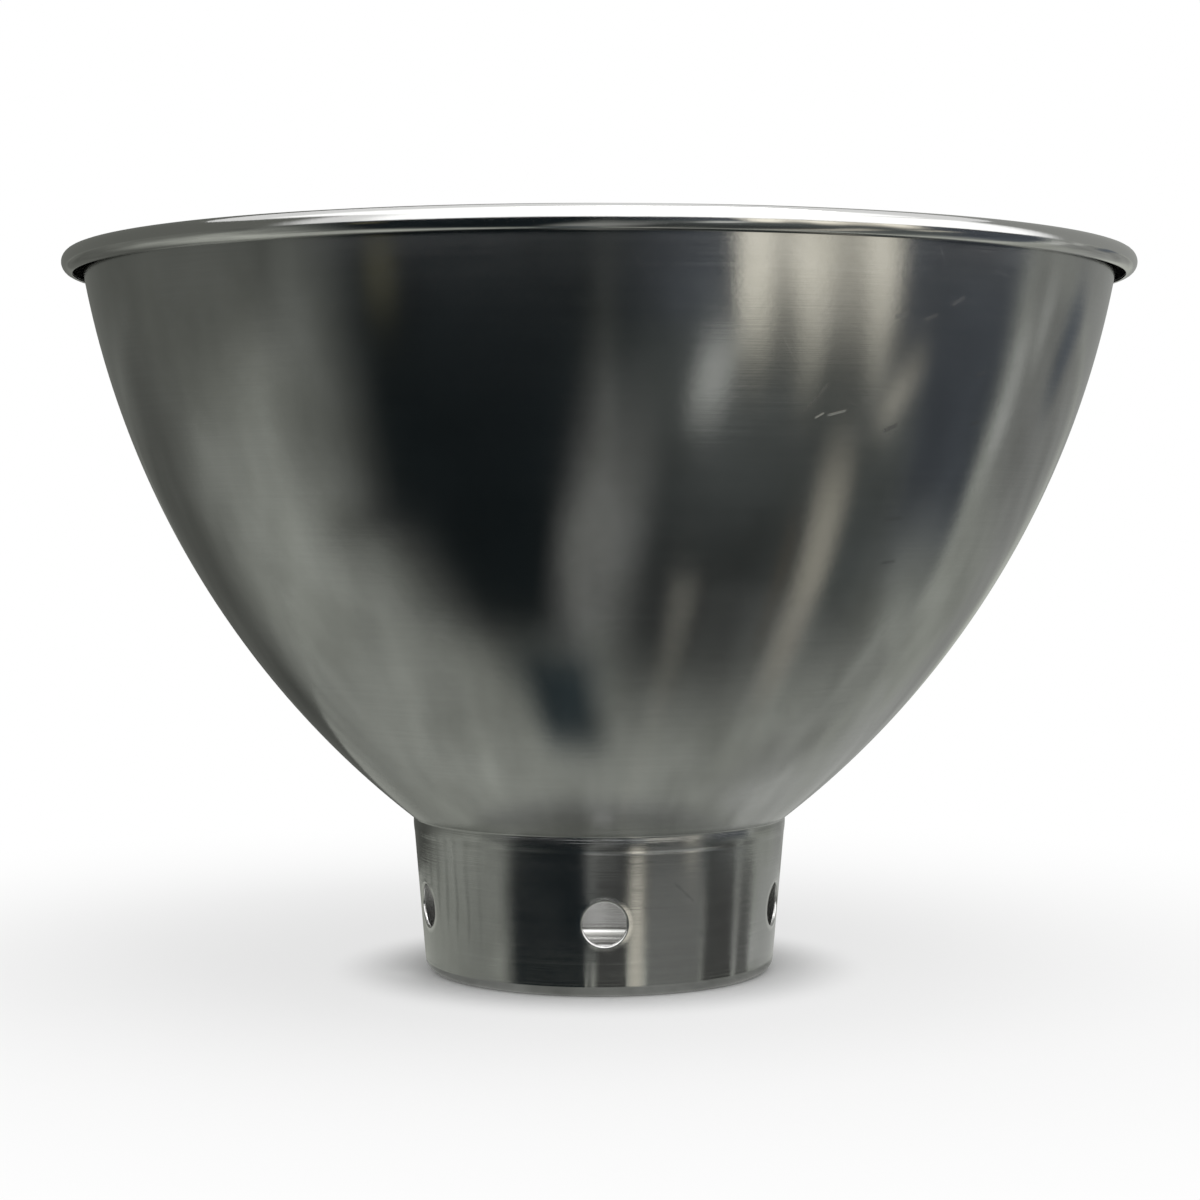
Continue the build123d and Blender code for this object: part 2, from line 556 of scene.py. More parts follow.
def lathe_group():
    """Lines that run round the axis: a value from 0 to 1, at a pitch in lines to the metre."""
    inputs = {"Position": "Vector", "Rise": 0.0, "Pitch": 900.0, "Waver": 6.0}
    tree, given = group("lathe_lines", inputs)
    spot = split(tree, given["Position"])
    stretched = join(
        tree,
        X=calc(tree, "MULTIPLY", spot["X"], given["Waver"]),
        Y=calc(tree, "MULTIPLY", spot["Y"], given["Waver"]),
        Z=calc(tree, "MULTIPLY", given["Rise"], given["Pitch"]),
    )
    return give(tree, Lines=ramp(tree, noise(tree, stretched, *LINE_NOISE), 0.3, 0.7))


lathe = lathe_group()
print("lathe lines:", len(lathe.nodes), "nodes")

# %% [markdown]
# ## Hairlines and struck marks
# Handling leaves hairline scratches that lie any way. Cells of a Voronoi pattern, stretched until they are
# long and thin, make them: only a few cells are chosen, and each chosen one holds a single line. The larger
# marks are single events, such as a knock or a slip of a tool, so each is placed one by one: an angle from the
# front, a height, a length and a tilt.

# %% Scratch groups
MIDDLE_RADIUS = 0.11    # of the side, for the width of the hairlines' cells


def tilted(tree, place, tilt):
    """The parts of a flat place after a turn."""
    inputs = {"Vector": place, "Angle": tilt}
    return split(tree, add(tree, "ShaderNodeVectorRotate", inputs, rotation_type="Z_AXIS")[0])


def hairline_group():
    """Sparse thin scratches that lie at one tilt."""
    inputs = {"Angle": 0.0, "Rise": 0.0, "Tilt": 0.0, "Length": 0.012, "Width": 0.0005, "Share": 0.04}
    tree, given = group("hairlines", inputs)
    flat = join(tree, X=calc(tree, "MULTIPLY", given["Angle"], MIDDLE_RADIUS), Y=given["Rise"])
    spot = tilted(tree, flat, given["Tilt"])
    stretched = join(
        tree,
        X=calc(tree, "DIVIDE", spot["X"], given["Length"]),
        Y=calc(tree, "DIVIDE", spot["Y"], given["Width"]),
    )
    inputs = {"Vector": stretched, "Scale": 1.0, "Randomness": 1.0}
    cells = add(tree, "ShaderNodeTexVoronoi", inputs, voronoi_dimensions="2D")
    draw = add(tree, "ShaderNodeSeparateColor", {0: cells["Color"]})[0]
    chosen = calc(tree, "LESS_THAN", draw, given["Share"])
    line = ramp(tree, cells["Distance"], 0.34, 0.10)
    return give(tree, Scratches=calc(tree, "MULTIPLY", line, chosen))


def mark_group():
    """One struck mark, or a painted highlight of the same shape: a short line with soft ends, at an angle from
    the front and a height.
    """
    inputs = {
        "Angle": 0.0, "Radius": 0.0, "Position": "Vector", "At Angle": 0.0, "At Height": 0.0,
        "Tilt": 0.0, "Length": 0.004, "Width": 0.0005,
    }
    tree, given = group("mark_or_highlight_shape", inputs)
    aside = calc(tree, "SUBTRACT", given["Angle"], given["At Angle"])
    above = calc(tree, "SUBTRACT", split(tree, given["Position"])["Z"], given["At Height"])
    local = join(tree, X=calc(tree, "MULTIPLY", aside, given["Radius"]), Y=above)
    spot = tilted(tree, local, given["Tilt"])
    along = calc(tree, "DIVIDE", calc(tree, "ABSOLUTE", spot["X"]), given["Length"])
    beside = calc(tree, "DIVIDE", calc(tree, "ABSOLUTE", spot["Y"]), given["Width"])
    mask = calc(tree, "MULTIPLY", ramp(tree, along, 0.5, 0.3), ramp(tree, beside, 0.5, 0.15))
    return give(tree, Mark=mask)


hairlines, mark_or_highlight = hairline_group(), mark_group()
print("scratch groups ready")

# %% [markdown]
# ## The spun metal
# Bare metal has no colour under its shine, so one Principled shader with Metallic at 1 is nearly the whole
# finish. Only the hollow of the curl is dull and painted nearly black, as painted shade for the little light
# that gets into it. The fine lines scatter light across themselves, up and down, and hardly along themselves.
# That is what anisotropy does: its tangent runs round the axis, and a quarter turn of rotation stretches the
# highlights up and down the side. Zones, lines and marks then change the roughness, the colour and the bump.
# The colour also holds painted shade in the foot's inside corner, painted light inside the neck, and a painted
# highlight along the crease under the band.

# %% Colours and sizes of the finish, and the struck marks
METAL = (0.45, 0.455, 0.45, 1)
GROOVE = (0.415, 0.42, 0.415, 1)
STAINED = (0.385, 0.39, 0.38, 1)    # faint clouds of tarnish
BURNISHED = (0.62, 0.62, 0.61, 1)
CURL_SHADE = (0.03, 0.03, 0.03, 1)      # painted shade: the hollow of the curl painted nearly black
INSIDE = (0.36, 0.36, 0.35, 1)
INSIDE_GROOVE = (0.31, 0.31, 0.30, 1)
# painted light: the inside of the neck is lighter than the rest of the inside, for the light falling into it
NECK_INSIDE_PAINTED_LIGHT = (0.54, 0.54, 0.53, 1)
CORNER_SHADE = (0.22, 0.22, 0.21, 1)
DARK = (0.10, 0.105, 0.11, 1)
WHITE = (1, 1, 1, 1)

ROUGHNESS = {"bowl": 0.12, "neck": 0.09, "inside": 0.27, "neck inside": 0.20, "rim": 0.08, "hollow": 0.9}
ROUGHER = {"lines": 0.03, "clouds": 0.03, "scratches": 0.05, "dark": 0.1}   # what each pattern adds to it
ANISOTROPY, QUARTER_TURN = 0.75, 0.25
TARNISH_NOISE, TARNISH_FADE = (22.0, 4.0, 0.6), (0.60, 0.36)    # tarnish comes in where the noise is low
DARK_SHARE, LIGHT_SHARE, LIGHT_CUT = 0.4, 0.6, 0.6  # how much of the marks shows, and of their cuts
CORNER_SHADE_FADE = (0.0050, 0.0044)      # painted shade in the foot's inside corner comes in from the first height to the second
CORNER_LINES = ((0.0041, 0.0005), (0.0026, 0.0004))     # height and half width of the bright lines that the painted shade leaves out

LINE_SETS = ((700.0, 9.0, 0.4), (2600.0, 22.0, 0.6))    # pitch, waver and share of the two sets
LINE_DEPTH = (0.0000045, 0.000018)  # on the bowl and on the neck
HAIRLINES = ((0.35, 0.014, 0.00045), (-0.6, 0.010, 0.00040), (1.2, 0.016, 0.00045))     # tilt, length, width
HAIRLINE_SHARE = 0.008              # of the cells
UNEVEN = (      # scale, detail and roughness of the noise, then its depth on the bowl and on the neck
    (14.0, 2.0, 0.4, 0.00045, 0.00045),     # broad waves left by the roller
    (45.0, 1.0, 0.4, 0.00004, 0.00022),     # ripples
    (420.0, 2.0, 0.5, 0.000012, 0.000012),  # grain
)
MARK_DEPTH = 0.00004

# angle from the front, height, tilt in degrees, length and width of each mark
DARK_MARKS = (
    (38.2, 0.2074, -28, 0.0062, 0.0020),
    (35.0, 0.2027, -22, 0.0056, 0.0018),
    (31.1, 0.2029, -18, 0.0050, 0.0018),
    (43.9, 0.1880, -20, 0.0054, 0.0016),
    (45.3, 0.1743, -10, 0.0050, 0.0014),
    (32.5, 0.1723, -24, 0.0060, 0.0018),
    (36.8, 0.1470, -4, 0.0076, 0.0014),
    (38.6, 0.1346, -6, 0.0064, 0.0014),
    (22.7, 0.1803, -50, 0.0120, 0.0010),
    (26.4, 0.0319, 42, 0.0110, 0.0012),
    (34.6, 0.0171, 38, 0.0090, 0.0008),
)
LIGHT_MARKS_AND_HIGHLIGHT = (
    (25.4, 0.1762, -14, 0.0070, 0.0008),
    (23.4, 0.1755, -30, 0.0036, 0.0006),
    # not a mark: a painted highlight along the crease under the band
    (17.0, 0.0449, 0, 0.0560, 0.0016),
)


# %% Helpers for the metal
def use(tree, made, inputs):
    """Place a shader group and feed its inputs."""
    return add(tree, "ShaderNodeGroup", inputs, node_tree=made)


def mix(tree, share, first, second):
    """A value that goes from the first to the second with a share."""
    return add(tree, "ShaderNodeMix", {"Factor": share, "A": first, "B": second})["Result"]


def tint(tree, share, first, second):
    """A colour that goes from the first to the second with a share. Sockets 6, 7 and 2 are for colours."""
    return add(tree, "ShaderNodeMix", {"Factor": share, 6: first, 7: second}, data_type="RGBA")[2]


def bumped(tree, height, depth, normal=None, strength=1.0):
    """A normal, bent by a height."""
    inputs = {"Height": height, "Strength": strength, "Distance": depth}
    if normal is not None:
        inputs["Normal"] = normal
    return add(tree, "ShaderNodeBump", inputs)[0]


def strongest(tree, masks):
    """The highest of several masks."""
    return reduce(lambda first, second: calc(tree, "MAXIMUM", first, second), masks)


print("metal helpers ready")


# %% Patterns on the metal
def all_marks(tree, where, zone, marks):
    """One mask for a list of struck marks, or of marks and a painted highlight."""
    place = {"Angle": zone["Angle"], "Radius": zone["Radius"], "Position": where}
    masks = []
    for angle, height, tilt, length, width in marks:
        at = {"At Angle": radians(angle), "At Height": height, "Tilt": radians(tilt)}
        masks.append(use(tree, mark_or_highlight, {**place, **at, "Length": length, "Width": width})["Mark"])
    return strongest(tree, masks)


def all_lines(tree, where, zone):
    """The coarse and the fine lathe lines together."""
    sets = []
    for pitch, waver, share in LINE_SETS:
        inputs = {"Position": where, "Rise": zone["Rise"], "Pitch": pitch, "Waver": waver}
        sets.append(calc(tree, "MULTIPLY", use(tree, lathe, inputs)["Lines"], share))
    return calc(tree, "ADD", *sets)


def all_hairlines(tree, zone):
    """One mask for the hairlines of every tilt."""
    place = {"Angle": zone["Angle"], "Rise": zone["Rise"], "Share": HAIRLINE_SHARE}
    masks = []
    for tilt, length, width in HAIRLINES:
        inputs = {**place, "Tilt": tilt, "Length": length, "Width": width}
        masks.append(use(tree, hairlines, inputs)["Scratches"])
    return strongest(tree, masks)


print("marks:", len(DARK_MARKS), "dark and", len(LIGHT_MARKS_AND_HIGHLIGHT), "light")


# %% Material of the sheet
def metal_roughness(tree, zone, seen):
    """Roughness of each zone, raised a little by the patterns."""
    outside = mix(tree, zone["Neck"], ROUGHNESS["bowl"], ROUGHNESS["neck"])
    inside = mix(tree, zone["Neck"], ROUGHNESS["inside"], ROUGHNESS["neck inside"])
    rough = mix(tree, zone["Rim"], mix(tree, zone["Inside"], outside, inside), ROUGHNESS["rim"])
    for name, share in ROUGHER.items():
        rough = calc(tree, "MULTIPLY_ADD", seen[name], share, rough)
    return mix(tree, zone["Hollow"], rough, ROUGHNESS["hollow"])


def metal_colour(tree, height, zone, seen):
    """Colour of each zone, with lathe lines, tarnish and marks, and painted shade, painted light and a painted
    highlight.
    """
    outside = tint(tree, seen["lines"], GROOVE, METAL)
    outside = tint(tree, ramp(tree, seen["clouds"], *TARNISH_FADE), outside, STAINED)
    inside = tint(tree, seen["lines"], INSIDE_GROOVE, INSIDE)
    # painted light: the inside of the neck is made lighter
    inside = tint(tree, zone["Neck"], inside, NECK_INSIDE_PAINTED_LIGHT)
    colour = tint(tree, zone["Inside"], outside, inside)
    # painted shade in the foot's inside corner, left out along two thin lines
    corner = calc(tree, "MULTIPLY", zone["Inside"], ramp(tree, height, *CORNER_SHADE_FADE))
    for line, half in CORNER_LINES:
        off = calc(tree, "ABSOLUTE", calc(tree, "SUBTRACT", height, line))
        corner = calc(tree, "MULTIPLY", corner, ramp(tree, off, half * 0.5, half * 1.3))
    colour = tint(tree, corner, colour, CORNER_SHADE)
    # the hollow of the curl is painted nearly black: painted shade
    colour = tint(tree, zone["Rim"], colour, tint(tree, zone["Hollow"], BURNISHED, CURL_SHADE))
    colour = tint(tree, zone["Edge"], colour, BURNISHED)
    colour = tint(tree, calc(tree, "MULTIPLY", seen["dark"], DARK_SHARE), colour, DARK)
    return tint(tree, calc(tree, "MULTIPLY", seen["light"], LIGHT_SHARE), colour, WHITE)


def metal_normal(tree, where, zone, seen):
    """Uneven places in the sheet, then the lathe lines, then the cuts of the light marks."""
    normal = None
    for scale, detail, roughness, on_bowl, on_neck in UNEVEN:
        depth = mix(tree, zone["Neck"], on_bowl, on_neck)
        normal = bumped(tree, noise(tree, where, scale, detail, roughness), depth, normal)
    normal = bumped(tree, seen["lines"], mix(tree, zone["Neck"], *LINE_DEPTH), normal)
    return bumped(tree, calc(tree, "MULTIPLY", seen["light"], -1), MARK_DEPTH, normal, LIGHT_CUT)


def spun_metal():
    """Satin side, burnished rim, turned neck and duller inside, with lathe lines and wear, and painted shade,
    painted light and a painted highlight.
    """
    material = bpy.data.materials.new("spun_aluminium")
    material.use_nodes = True
    tree = material.node_tree
    shader = tree.nodes["Principled BSDF"].inputs
    place = add(tree, "ShaderNodeTexCoord")
    where = place["Object"]
    zone = use(tree, zones, {"Position": where, "Facing": place["Normal"]})
    seen = {
        "lines": all_lines(tree, where, zone),
        "clouds": noise(tree, where, *TARNISH_NOISE),
        "scratches": all_hairlines(tree, zone),
        "dark": all_marks(tree, where, zone, DARK_MARKS),
        # the light marks also hold a painted highlight on the crease under the band
        "light": all_marks(tree, where, zone, LIGHT_MARKS_AND_HIGHLIGHT),
    }
    for name, value in (
        ("Roughness", metal_roughness(tree, zone, seen)),
        # metal is turned off in the curl's hollow, so that its painted shade stays dark
        ("Metallic", calc(tree, "SUBTRACT", 1, zone["Hollow"])),
        ("Base Color", metal_colour(tree, split(tree, where)["Z"], zone, seen)),
        ("Normal", metal_normal(tree, where, zone, seen)),
        ("Tangent", add(tree, "ShaderNodeTangent", direction_type="RADIAL", axis="Z")[0]),
    ):
        tree.links.new(value, shader[name])
    shader["Anisotropic"].default_value = ANISOTROPY
    shader["Anisotropic Rotation"].default_value = QUARTER_TURN
    return material


metal = spun_metal()
print("metal:", len(metal.node_tree.nodes), "nodes")

# %% [markdown]
# ## Make the bowl
# The section goes in as a mesh of edges, the tree spins it, and the evaluated result becomes a plain mesh.
# Its doubles are merged and its normals recalculated, because a spun shape can come out with either side
# outwards. The count of open edges isn't zero: inside the neck, behind the two creases of the band, two rings
# of faces under 0.02 mm wide lie folded on their neighbours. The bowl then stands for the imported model's node
# and rides on its body.

# %% The bowl as one mesh
DOUBLES = 0.000001      # points that are nearer than this are one


def section_mesh():
    """The two chains of the section as a mesh of edges, upright over the X axis."""
    points, edges = [], []
    for run in (lower_chain, upper_chain):
        start = len(points)
        points += [(r, 0, z) for r, z in run]
        edges += [(i, i + 1) for i in range(start, len(points) - 1)]
    mesh = bpy.data.meshes.new("section")
    mesh.from_pydata(points, edges, [])
    return mesh


def spun_piece():
    """Run the spinning tree and keep its result as a plain mesh."""
    raw = new_object("section", section_mesh())
    spin = raw.modifiers.new("spin", "NODES")
    spin.node_group = spin_tree
    keys = {item.name: item.identifier for item in spin_tree.interface.items_tree}
    spin[keys["Panel"]] = panel
    seen = raw.evaluated_get(bpy.context.evaluated_depsgraph_get())
    mesh = bpy.data.meshes.new_from_object(seen)
    for used in (raw, panel):
        bpy.data.objects.remove(used)
    mesh.materials.clear()
    mesh.materials.append(metal)
    shape = bmesh.new()
    shape.from_mesh(mesh)
    bmesh.ops.remove_doubles(shape, verts=shape.verts, dist=DOUBLES)
    bmesh.ops.recalc_face_normals(shape, faces=shape.faces)
    open_edges = sum(not edge.is_manifold for edge in shape.edges)
    shape.to_mesh(mesh)
    shape.free()
    piece = new_object("spun_bowl_skin", mesh)
    print("open edges:", open_edges, "triangles:", sum(len(face.vertices) - 2 for face in mesh.polygons))
    return piece


bowl = spun_piece()
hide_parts("spun_bowl")
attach(bowl, "root")
print("bowl size:", [round(v, 4) for v in bowl.dimensions])
print("materials:", [m.name for m in bowl.data.materials])

# %% [markdown]
# ## Camera
# The photograph looks almost level, from a little under a metre in front of the axis, with a short telephoto
# lens. Its height and tilt were found from the ellipses of the rim and the foot.

# %% Place the camera
CAMERA_PLACE = (0.00023, -0.8662, 0.1533)
CAMERA_TILT = 2.22      # degrees below level
CAMERA_LENS, SENSOR_WIDTH = 79.9, 36    # mm

camera = new_object("camera", bpy.data.cameras.new("camera"))
camera.location = CAMERA_PLACE
camera.rotation_euler = (radians(90 - CAMERA_TILT), 0, 0)
camera.data.lens = CAMERA_LENS
camera.data.sensor_width = SENSOR_WIDTH
bpy.context.scene.camera = camera
print("camera distance:", round(camera.location.length, 3))

# %% [markdown]
# ## Floor and white surroundings
# The floor is plain and pale and keeps the bowl's shadow. Near the bowl two thirds of what is seen of it is
# plain white and the rest is its lit colour, and it turns fully white towards the distance, so no horizon
# shows. The world is white for the camera and for reflections, and a plain level of light for everything else.

# %% Floor, world and lamp
FLOOR_HALF = 12.0
FLOOR_GREY = (0.88, 0.88, 0.88, 1)
NEAR_WHITE, NEAR_WAY = 0.66, (0.05, 0.09)   # share of plain white by the bowl, and over which radii it comes
FAR_WHITE, FAR_WAY = 0.34, (0.10, 0.40)     # what is added to it farther out
WORLD_LIGHT = 0.62
LAMP_PLACE, LAMP_AIM, LAMP_SIDE, LAMP_WATTS = (0.35, -0.5, 1.7), (0, 0, 0.1), 1.2, 12


def stage_object(name, mesh, material):
    """Link an object that is part of the studio and not of the bowl."""
    made = new_object(name, mesh)
    made.data.materials.append(material)
    return made


def sees_white(tree):
    """1 for rays that should meet the white background: from the camera, a reflection or through glass."""
    rays = add(tree, "ShaderNodeLightPath")
    either = calc(tree, "MAXIMUM", rays["Is Camera Ray"], rays["Is Glossy Ray"])
    return calc(tree, "MAXIMUM", either, rays["Is Transmission Ray"])


def floor_material():
    """Pale floor that keeps a soft shadow near the bowl and is plain white far away."""
    material = bpy.data.materials.new("pale_floor")
    material.use_nodes = True
    tree = material.node_tree
    shader = tree.nodes["Principled BSDF"]
    shader.inputs["Base Color"].default_value = FLOOR_GREY
    shader.inputs["Roughness"].default_value = 0.9
    shader.inputs["Specular IOR Level"].default_value = 0.0
    white = add(tree, "ShaderNodeEmission", {"Color": WHITE, "Strength": 1.0})[0]
    away = vector(tree, "LENGTH", add(tree, "ShaderNodeTexCoord")["Object"])["Value"]
    share = calc(tree, "MULTIPLY", ramp(tree, away, *NEAR_WAY), NEAR_WHITE)
    share = calc(tree, "MULTIPLY_ADD", ramp(tree, away, *FAR_WAY), FAR_WHITE, share)
    share = calc(tree, "MULTIPLY", share, sees_white(tree))
    blend = add(tree, "ShaderNodeMixShader", {0: share, 1: shader.outputs[0], 2: white})[0]
    tree.links.new(blend, tree.nodes["Material Output"].inputs["Surface"])
    return material


floor_mesh = bpy.data.meshes.new("floor")
corners = [(x * FLOOR_HALF, y * FLOOR_HALF, 0) for x, y in ((-1, -1), (1, -1), (1, 1), (-1, 1))]
floor_mesh.from_pydata(corners, [], [(0, 1, 2, 3)])
stage_object("floor", floor_mesh, floor_material())

world = bpy.data.worlds.new("studio")
bpy.context.scene.world = world
world.use_nodes = True
sky = world.node_tree.nodes["Background"].inputs
sky["Color"].default_value = WHITE
level = mix(world.node_tree, sees_white(world.node_tree), WORLD_LIGHT, 1.0)
world.node_tree.links.new(level, sky["Strength"])

lamp = new_object("softbox", bpy.data.lights.new("softbox", "AREA"))
lamp.data.shape = "SQUARE"
lamp.data.size = LAMP_SIDE
lamp.data.energy = LAMP_WATTS
lamp.location = LAMP_PLACE
lamp.rotation_euler = (Vector(LAMP_AIM) - lamp.location).to_track_quat("-Z", "Y").to_euler()
lamp.visible_camera = False
print("lamp:", lamp.data.energy, "W")

# %% [markdown]
# ## Cards that only the metal sees
# Bare metal looks like what stands round it. In an all-white studio it would be flat and pale. As a
# photographer does, dark and light cards are set round the bowl, with soft edges. Only reflections see them:
# the camera doesn't, and they neither light the floor nor shade it.

# %% Card material
CARD_NOISE = (3.5, 3.0, 0.6)        # scale, detail and roughness
CARD_GROWTH = 4.0                   # clouds are alike again at this many times the distance


def soft_edge_group():
    """1 in the middle of a card, falling softly to 0 at each of its four edges."""
    inputs = {"Place": "Vector", "First": 0.1, "Last": 0.1, "Near": 0.1, "Far": 0.1}
    tree, given = group("soft_edge", inputs)
    spot = split(tree, given["Place"])
    mask = 1.0
    for axis, start, end in (("X", "First", "Last"), ("Y", "Near", "Far")):
        left = calc(tree, "SUBTRACT", 1, spot[axis])
        for way, fade in ((spot[axis], given[start]), (left, given[end])):
            mask = calc(tree, "MULTIPLY", mask, ramp(tree, calc(tree, "DIVIDE", way, fade), 0, 1))
    return give(tree, Mask=mask)


def cloud_group():
    """Clouds round the axis that grow with the distance from it, from 0 to 1."""
    tree, given = group("card_clouds", {"Position": "Vector"})
    spot = split(tree, given["Position"])
    flat = join(tree, X=spot["X"], Y=spot["Y"])
    course = split(tree, vector(tree, "NORMALIZE", flat)[0])
    away = calc(tree, "LOGARITHM", vector(tree, "LENGTH", flat)["Value"], CARD_GROWTH)
    place = join(tree, X=course["X"], Y=course["Y"], Z=away)
    return give(tree, Clouds=noise(tree, place, *CARD_NOISE))


soft_edge, clouds_round = soft_edge_group(), cloud_group()


def card_material(name, colour, strength, fades, uneven):
    """Light of one colour and strength that thins out to nothing at the card's edges."""
    material = bpy.data.materials.new(name)
    material.use_nodes = True
    tree = material.node_tree
    tree.nodes.remove(tree.nodes["Principled BSDF"])
    place = add(tree, "ShaderNodeUVMap", uv_map="card")[0]
    edges = dict(zip(("First", "Last", "Near", "Far"), fades))
    mask = use(tree, soft_edge, {"Place": place, **edges})["Mask"]
    where = add(tree, "ShaderNodeTexCoord")["Object"]
    clouds = use(tree, clouds_round, {"Position": where})["Clouds"]
    level = calc(tree, "MULTIPLY_ADD", clouds, strength * uneven * 2, strength * (1 - uneven))
    light = add(tree, "ShaderNodeEmission", {"Color": (*colour, 1), "Strength": level})[0]
    clear = add(tree, "ShaderNodeBsdfTransparent")[0]
    blend = add(tree, "ShaderNodeMixShader", {0: mask, 1: clear, 2: light})[0]
    tree.links.new(blend, tree.nodes["Material Output"].inputs["Surface"])
    material.cycles.emission_sampling = "NONE"
    return material


def card(name, sheets, colour, strength, fades, uneven=0.0):
    """A card of one or more sheets. Each sheet gives a place for a share across and a share along."""
    shape = bmesh.new()
    uv = shape.loops.layers.uv.new("card")
    for place, across, along in sheets:
        grid = [
            [shape.verts.new(place(i / across, j / along)) for i in range(across + 1)]
            for j in range(along + 1)
        ]
        for j in range(along):
            for i in range(across):
                corners = ((i, j), (i + 1, j), (i + 1, j + 1), (i, j + 1))
                face = shape.faces.new([grid[b][a] for a, b in corners])
                for loop, (a, b) in zip(face.loops, corners):
                    loop[uv].uv = (a / across, b / along)
    mesh = bpy.data.meshes.new(name)
    shape.to_mesh(mesh)
    shape.free()
    made = stage_object(name, mesh, card_material(name, colour, strength, fades, uneven))
    made.visible_camera = made.visible_diffuse = made.visible_shadow = False
    made.visible_transmission = made.visible_volume_scatter = False
    return made


print("card helper ready")

# %% Sectors of the floor, walls round the bowl, and louvres for the neck
CLOUD_SHARE = 0.55          # how far clouds raise and lower the light of a sector
SECTOR_LIFT = 0.00005       # each sector lies this far over the one before it
SECTOR_STEPS, WALL_STEPS, STRIP_STEPS = (24, 12), (24, 4), (12, 1)
LOUVRES = [0.0585 + 0.0025 * i for i in range(58)]      # radii of one louvre's strips
LOUVRE_SHIFT = 0.0002       # each louvre's strips stand this far outside those of the one before it
LOUVRE_HEIGHTS = (0.0017, 0.0027)
HARD = 0.001                # fade of an edge that isn't soft


def polar(angle, radius, z):
    """A place at an angle in degrees from the front, towards +X."""
    return Vector((radius * sin(radians(angle)), -radius * cos(radians(angle)), z))


def between(ends, share):
    """A value that goes from the first end to the second with a share."""
    return ends[0] + (ends[1] - ends[0]) * share


def sector(name, layer, near, far, radii, colour, strength, fades):
    """A card just over the floor, between two angles at its near edge and two at its far edge."""

    def place(across, along):
        angle = between((between(near, across), between(far, across)), along)
        return polar(angle, radii[0] * (radii[1] / radii[0]) ** along, SECTOR_LIFT * layer)

    return card(name, [(place, *SECTOR_STEPS)], colour, strength, fades, CLOUD_SHARE)


def wall(name, radius, angles, heights, colour, strength, fades):
    """A card that stands round the bowl."""

    def place(across, along):
        return polar(between(angles, across), radius, between(heights, along))

    return card(name, [(place, *WALL_STEPS)], colour, strength, fades)


def met_from_neck(turn, radius):
    """Angle at which the camera's view, mirrored by the neck at an angle, reaches a radius from the axis."""
    neck = CONE_FOOT[0]
    view = degrees(atan2(neck * sin(radians(turn)), -CAMERA_PLACE[1] - neck * cos(radians(turn))))
    away = 2 * turn + view
    return away - degrees(asin(neck * sin(radians(away - turn)) / radius))


def louvre(name, layer, turns, colour, strength, fades):
    """Low rings of strips. From the side, as the neck looks, they close up. From above they are open."""

    def strip(radius):
        ends = [met_from_neck(turn, radius) for turn in turns]
        return lambda across, along: polar(between(ends, across), radius, between(LOUVRE_HEIGHTS, along))

    sheets = [(strip(radius + LOUVRE_SHIFT * layer), *STRIP_STEPS) for radius in LOUVRES]
    return card(name, sheets, colour, strength, (*fades, HARD, HARD))


print("louvres:", len(LOUVRES))

# %% [markdown]
# ## Lay out the cards
# What the metal mirrors of the floor is olive grey at the left and nearly black in front, with beige bars of
# light and blue grey at the right. A sector is given by its angles at the near edge, its angles at the far
# edge and its two radii. Then come its colour, its strength, and how much of it fades at its first side, its
# last side, its near edge and its far edge. Each sector lies over those before it.

# %% Cards on the floor
BLUE_BLACK = (0.62, 0.88, 1.0)
BLUE = (0.84, 0.95, 1.1)
BEIGE = (1.0, 0.95, 0.82)
OLIVE = (0.97, 1.0, 0.91)
NEUTRAL = (0.985, 1.0, 0.955)
TEAL = (0.92, 1.02, 1.0)

